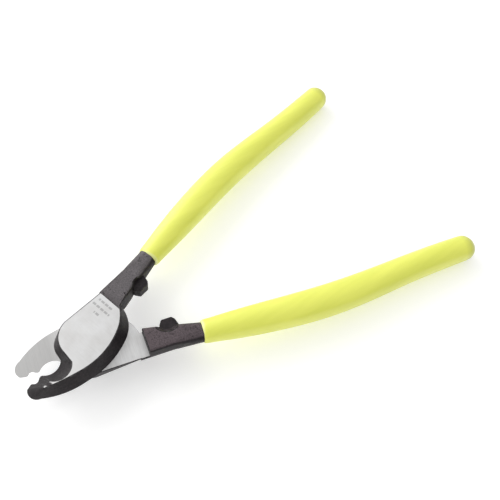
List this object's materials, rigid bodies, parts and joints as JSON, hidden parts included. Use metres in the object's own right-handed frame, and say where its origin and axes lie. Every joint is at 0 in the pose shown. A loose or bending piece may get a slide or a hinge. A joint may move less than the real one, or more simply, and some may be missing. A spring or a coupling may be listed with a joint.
{
  "type": "hand cable cutter",
  "caption": "Hand cable cutter with two crossed forged levers, hooked shear jaws, one pivot bolt, stop lugs and dipped vinyl grips.",
  "frame": {"origin": "where the pivot axis meets the ground front face of the front lever's head", "axes": "+X along the tool's centre line from the pivot towards the handles, +Y towards the front lever's handle, +Z out of the ground front face"},
  "size_m": [0.1756, 0.1074, 0.0178],
  "materials": {
    "forged_steel": "black oxide on the forging, bright ground flat faces",
    "ground_steel": "surface ground",
    "plated_steel": "zinc plated",
    "grip_vinyl": "dipped vinyl, semi-gloss"
  },
  "bodies": {
    "front_half": {"front_lever": "forged_steel", "front_grip": "grip_vinyl", "pivot_bolt": "ground_steel", "flat_washer": "plated_steel", "spring_washer": "plated_steel", "pivot_nut": "plated_steel"},
    "rear_half": {"rear_lever": "forged_steel", "rear_grip": "grip_vinyl"}
  },
  "joints": [
    {"name": "pivot", "type": "hinge", "parent": "front_half", "child": "rear_half", "pos_m": [0, 0, -0.006], "axis": [0, 0, -1], "range_deg": [-31.9, 99]}
  ]
}
